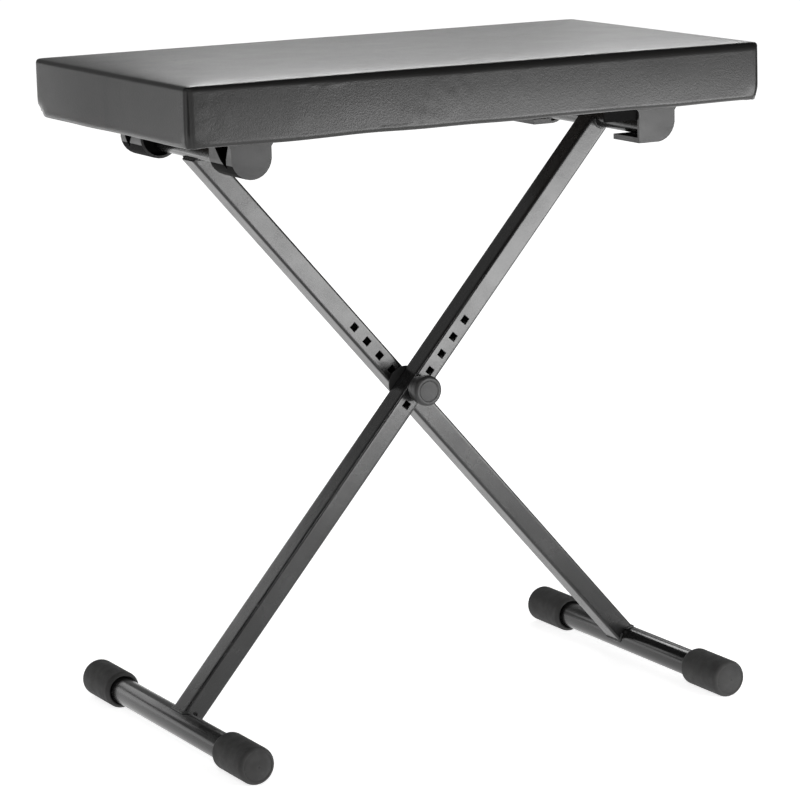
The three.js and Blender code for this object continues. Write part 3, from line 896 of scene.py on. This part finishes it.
def gauss(x, width):
    return math.exp(-(x / width) ** 2)


def ramp(x, low, high):
    """0 below low, 1 above high, and smooth between."""
    t = min(max((x - low) / (high - low), 0), 1)
    return t * t * (3 - 2 * t)


class Cover:
    """The seat's outer surface: a rounded box with the fullness and folds of a wrapped cover."""

    def __init__(self):
        self.low, self.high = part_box("seat_cover")
        self.mid = (self.low + self.high) / 2
        self.half = (self.high - self.low) / 2

    def edge_radius(self, p):
        """How round the edges are near p: tight at the sides, fuller along the front to the right."""
        front = FRONT_EDGE[0] + (FRONT_EDGE[1] - FRONT_EDGE[0]) * ramp(p.x, self.low.x, self.mid.x)
        along_y = front if p.y < self.mid.y else REAR_EDGE
        return Vector((SIDE_EDGE, along_y, 0))

    def rounded_place(self, p):
        """The place on the rounded box for a point p on its sharp box, with its normal."""
        radii = self.edge_radius(p)
        near_side = min(p.x - self.low.x, self.high.x - p.x) < min(p.y - self.low.y, self.high.y - p.y)
        top = radii.x if near_side else radii.y
        radii.z = top if p.z > self.mid.z else BOTTOM_EDGE
        inner = Vector([
            min(max(p[i], self.low[i] + radii[i]), self.high[i] - radii[i]) for i in range(3)
        ])
        offset = p - inner
        unit = Vector([offset[i] / radii[i] for i in range(3)])
        reach = unit.length
        normal = Vector([unit[i] / radii[i] for i in range(3)]).normalized()
        return inner + offset / reach, normal

    def crown(self, x, y):
        """How far the top rises from its edges to its middle."""
        to_side = max(self.half.x - abs(x), 0)
        to_front = max(self.half.y - abs(y), 0)
        inside = (to_side ** -4 + to_front ** -4) ** -0.25 if to_side * to_front > 0 else 0
        broad = CROWN * (1 - math.exp(-inside / CROWN_REACH))
        return broad + SHOULDER * (1 - math.exp(-inside / SHOULDER_REACH))

    def corner_place(self, x, y):
        """(x, y) from the centre of the nearest corner's rounding, both positive only in that corner."""
        return abs(x) - (self.half.x - CORNER), abs(y) - (self.half.y - CORNER)

    def round_corner(self, point):
        """Turns the square corner in plan into a round one."""
        in_x, in_y = self.corner_place(point.x, point.y)
        if min(in_x, in_y) > 0:
            reach = (in_x ** 5 + in_y ** 5) ** 0.2 / math.hypot(in_x, in_y)
            point.x -= math.copysign(in_x * (1 - reach), point.x)
            point.y -= math.copysign(in_y * (1 - reach), point.y)

    def corner_creases(self, x, y, z):
        """Two upright creases in each corner, where the cover is folded round it."""
        in_x, in_y = self.corner_place(x, y)
        if min(in_x, in_y) <= 0:
            return 0
        height = (z - self.low.z) / (self.high.z - self.low.z)
        turn = math.atan2(in_y, in_x) - math.pi / 4
        spread = math.radians(26 - 9 * height)
        width = math.radians(9)
        creases = gauss(turn - spread, width) + gauss(turn + spread, width)
        fade = ramp(height, 0.0, 0.15) * (1 - 0.4 * ramp(height, 0.9, 1.0))
        outer = ramp(math.hypot(in_x, in_y), 0.5 * CORNER, 0.95 * CORNER)
        return -CREASE_DEPTH * creases * fade * outer

    def tuck(self, x, y, z):
        """How far a lower corner is pulled in, most of all at the back left."""
        nearness = gauss(abs(x) - self.half.x, TUCK_REACH) * gauss(abs(y) - self.half.y, TUCK_REACH)
        amount = TUCK_BACK_LEFT if x < 0 < y else TUCK
        return amount * nearness * (1 - ramp(z, self.low.z + 1 * MM, self.low.z + 13 * MM))

    def side_drape(self, x, y, z):
        """Slight fullness, slow waves, and slanting tension lines, mostly in the long sides' left half."""
        height = (z - self.low.z) / (self.high.z - self.low.z)
        along = x + y
        on_side = abs(x) / self.half.x > abs(y) / self.half.y
        full = (0.15 if on_side else 0.4) * math.sin(math.pi * min(max(height, 0), 1))
        wave = 0.3 * noise.noise(Vector((along * 11, 0.3 * height, 4.2 + 3 * (y > 0))))
        slant = Vector((along * 120 + height * 4.5, height * 1.2, 1.7 + 5 * (y > 0)))
        ridge = max(0, 1 - abs(noise.noise(slant)) * 7)
        patch = ramp(noise.noise(Vector((along * 14, height, 8.8))), -0.05, 0.35)
        lines = 0.0 if on_side else 0.3 * ridge * patch * (1 - 0.7 * ramp(x, -0.02, 0.1))
        return (full + wave * (1.1 - height) + lines) * MM

    def place(self, p):
        point, normal = self.rounded_place(p)
        self.round_corner(point)
        side = math.hypot(normal.x, normal.y) ** 2
        upper = ramp(point.z, self.mid.z, self.high.z)
        point.z += upper * (self.crown(point.x, point.y) + 0.4 * MM)
        point.z += max(normal.z, 0) * 0.25 * MM * noise.noise(Vector((point.x * 8, point.y * 11, 0.5)))
        push = side * self.side_drape(point.x, point.y, point.z)
        push += self.corner_creases(point.x, point.y, point.z) * min(1, side + 0.3)
        point += Vector((normal.x, normal.y, 0)) * push
        pull = self.tuck(point.x, point.y, point.z)
        point -= Vector((math.copysign(pull, point.x), math.copysign(pull, point.y), 0))
        if point.z < self.mid.z:
            lower = 1 - ramp(point.z, self.low.z, self.low.z + 12 * MM)
            sag = noise.noise(Vector((point.x * 13, point.y * 13, 9.1)))
            point.z += lower * (0.9 * sag - 0.1) * MM
        return point

    def pleats(self, x, y):
        """Folded layers of the hem in each corner underneath."""
        slant = (abs(x) - self.half.x) - (abs(y) - self.half.y)
        near = max(0, 1 - max(self.half.x - abs(x), self.half.y - abs(y)) / (HEM * 1.1))
        layers = 1.2 * gauss(slant - 5 * MM, 3 * MM) + 0.9 * gauss(slant + 6 * MM, 3.5 * MM)
        return -near * layers * MM

    def build(self):
        hem_x = self.half.x - HEM
        hem_y = self.half.y - HEM
        xs = stations(self.low.x, self.high.x, (-hem_x, hem_x))
        ys = stations(self.low.y, self.high.y, (-hem_y, hem_y))
        zs = stations(self.low.z, self.high.z)
        bm = bmesh.new()
        made = {}

        def vertex(i, j, k):
            key = (i, j, k)
            if key not in made:
                x, y, z = xs[i], ys[j], zs[k]
                place = self.place(Vector((x, y, z)))
                if k == 0:
                    place.z += self.pleats(x, y)
                    ragged = noise.noise(Vector((x * 40, y * 40, 2.2))) * 2.4 * MM
                    if abs(abs(x) - hem_x) < 1e-6 and abs(y) <= hem_y + 1e-6:
                        place.x += ragged
                    if abs(abs(y) - hem_y) < 1e-6 and abs(x) <= hem_x + 1e-6:
                        place.y += ragged
                made[key] = bm.verts.new(place)
            return made[key]

        def is_open(i, j):
            inside_x = abs(xs[i] + xs[i + 1]) / 2 < hem_x
            inside_y = abs(ys[j] + ys[j + 1]) / 2 < hem_y
            return inside_x and inside_y

        nx, ny, nz = len(xs) - 1, len(ys) - 1, len(zs) - 1
        for i in range(nx):
            for j in range(ny):
                cell = ((i, j), (i + 1, j), (i + 1, j + 1), (i, j + 1))
                bm.faces.new([vertex(a, b, nz) for a, b in cell])
                if not is_open(i, j):
                    bm.faces.new([vertex(a, b, 0) for a, b in reversed(cell)])
        for k in range(nz):
            for i in range(nx):
                cell = ((i, k), (i + 1, k), (i + 1, k + 1), (i, k + 1))
                for j in (0, ny):
                    bm.faces.new([vertex(a, j, c) for a, c in cell])
            for j in range(ny):
                cell = ((j, k), (j + 1, k), (j + 1, k + 1), (j, k + 1))
                for i in (0, nx):
                    bm.faces.new([vertex(i, b, c) for b, c in cell])
        return bm


def upholstery():
    cover = as_object("seat_upholstery", Cover().build(), 180)
    skin = cover.modifiers.new("skin", "SOLIDIFY")
    skin.thickness = SKIN_THICKNESS
    skin.offset = -1
    finish_piece(cover, "seat", "leatherette", ["seat_cover"])


def hem_staples():
    """Wire staples through the hem, a little uneven as they are set by hand."""
    low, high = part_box("seat_cover")
    half = (high - low) / 2
    chance = random.Random(5)
    bm = bmesh.new()
    for along, across, quarter in ((half.x, half.y, 0), (half.y, half.x, 1)):
        count = int(2 * (along - HEM) / STAPLE_PITCH)
        for side in (-1, 1):
            for i in range(count + 1):
                s = (i - count / 2) * STAPLE_PITCH + chance.uniform(-4, 4) * MM
                t = side * (across - STAPLE_INSET + chance.uniform(-2, 2) * MM)
                place = Vector((s, t, low.z)) if quarter == 0 else Vector((t, s, low.z))
                turn = quarter * math.pi / 2 + chance.uniform(-0.25, 0.25)
                add_box(bm, place, STAPLE_HALF, turn)
    staples = soften(as_object("hem_staples", bm), 0.2 * MM)
    finish_piece(staples, "seat", "zinc_steel")


def seat():
    upholstery()
    hem_staples()
    for name, material in (("seat_board", "plywood"), ("foam_pad", "foam")):
        node = frame["nodes"][name]
        node.data.materials.clear()
        node.data.materials.append(MATERIALS[material])
    for node in ("pivot_bracket_front", "pivot_bracket_rear", "hook_bracket_front", "hook_bracket_rear"):
        bracket(node)
    screws()


# ---------------------------------------------------------------- studio


def floor():
    """A wide pale floor that glows, a little more away from the bench, as a lit sweep does."""
    bm = bmesh.new()
    bmesh.ops.create_circle(bm, cap_ends=True, segments=96, radius=6)
    piece = as_object("floor", bm)
    n = Nodes("floor")
    n.colour(n.blend(n.noise(3), grey(0.78), grey(0.82)))
    n.roughness(n.remap(n.noise(40), 0.3, 0.7, 0.85, 0.95))
    distance = n.add("ShaderNodeVectorMath", operation="LENGTH")
    n.wire(n.place, distance, 0)
    glow = n.remap(distance.outputs["Value"], 0.4, 1.8, 0.8, 1.05)
    n.wire(glow, n.shader, "Emission Strength")
    n.set(Specular_IOR_Level=0.0, Emission_Color=(1, 1, 1, 1))
    piece.data.materials.append(n.material)


def sky():
    """White at and below the horizon, a dim band above it, and dark overhead."""
    world = bpy.data.worlds.new("room")
    world.use_nodes = True
    bpy.context.scene.world = world
    tree = world.node_tree
    place = tree.nodes.new("ShaderNodeTexCoord")
    split = tree.nodes.new("ShaderNodeSeparateXYZ")
    tree.links.new(place.outputs["Generated"], split.inputs[0])
    shades = tree.nodes.new("ShaderNodeValToRGB")
    tree.links.new(split.outputs["Z"], shades.inputs["Fac"])
    tones = (
        (0.0, 1.05), (0.03, 0.45), (0.1, 0.38), (0.2, 0.26),
        (0.3, 0.24), (0.44, 0.36), (0.55, 0.03), (1.0, 0.012),
    )
    for i, (height, tone) in enumerate(tones):
        stop = shades.color_ramp.elements[i] if i < 2 else shades.color_ramp.elements.new(height)
        stop.position = height
        stop.color = (*grey(tone), 1)
    tree.links.new(shades.outputs["Color"], tree.nodes["Background"].inputs["Color"])


def softbox(name, place, aim, width, height, radiance, seen=True):
    """A rectangular light whose face has a given radiance."""
    data = bpy.data.lights.new(name, "AREA")
    data.shape = "RECTANGLE"
    data.size = width
    data.size_y = height
    data.energy = radiance * math.pi * width * height
    lamp = bpy.data.objects.new(name, data)
    lamp.location = place
    lamp.rotation_euler = (Vector(aim) - Vector(place)).to_track_quat("-Z", "Y").to_euler()
    lamp.visible_glossy = seen
    lamp.visible_camera = False
    bpy.context.scene.collection.objects.link(lamp)


def flag(name, place, width, height):
    """A black card that keeps light off the bench from one side. The camera doesn't see it."""
    bm = bmesh.new()
    turn = Vector((place[0], place[1], 0)).to_track_quat("Z", "Y").to_matrix().to_4x4()
    scale = Matrix.Diagonal((height, width, 1, 1))
    where = Matrix.Translation(place) @ turn @ scale
    bmesh.ops.create_grid(bm, x_segments=1, y_segments=1, size=0.5, matrix=where)
    card = as_object(name, bm)
    n = Nodes(name)
    n.colour(n.blend(n.noise(20), grey(0.002), grey(0.004)))
    n.set(Specular_IOR_Level=0.0, Roughness=1.0)
    card.data.materials.append(n.material)
    card.visible_camera = False


def studio():
    scene = bpy.context.scene
    scene.view_settings.view_transform = "Standard"
    floor()
    sky()
    flag("flag_left", (-1.5, -0.85, 0.36), 2.4, 0.74)
    flag("flag_right", (1.7, -0.2, 0.4), 2.2, 0.8)
    flag("flag_near", (-0.47, 0.5, 0.5), 0.32, 0.11)
    softbox("key", (0.62, -0.92, 0.245), (0.12, 0, 0.35), 0.8, 0.36, 9.2)
    softbox("edge", (-1.3, -1.05, 1.62), (0, 0, 0.35), 0.5, 0.35, 12)
    softbox("rim", (1.0, 1.4, 1.38), (0.05, 0, 0.6), 1.2, 0.34, 5.4)
    softbox("backdrop", (2.0, 2.0, 1.2), (0, 0, 0.6), 1.0, 0.3, 1.3)
    softbox("left_back", (-0.36, 1.0, 0.48), (-0.1, 0, 0.2), 0.5, 0.26, 1.4)
    softbox("left_low", (-0.8, 1.0, 0.17), (-0.25, 0, 0.05), 0.9, 0.27, 1.4)
    softbox("overhead", (0, 0, 2.4), (0, 0, 0), 2.6, 2.6, 0.5, seen=False)


# ---------------------------------------------------------------- the bench

make_camera()
studio()
seat()
leg_frame("rear_leg_tube", "rear_leg", "right", "left")
leg_frame("front_leg_tube", "front_leg", "left", "right")
pivot_bolt()
knob()
disc("glide_washer", "rear_leg", "glide_plastic", 3.4, 0.15)
disc("knob_washer", "front_leg", "zinc_steel", 3.4, 0.2)
disc("knob_insert", "knob", "brass", 3.3, 0.3)

bpy.context.view_layer.update()
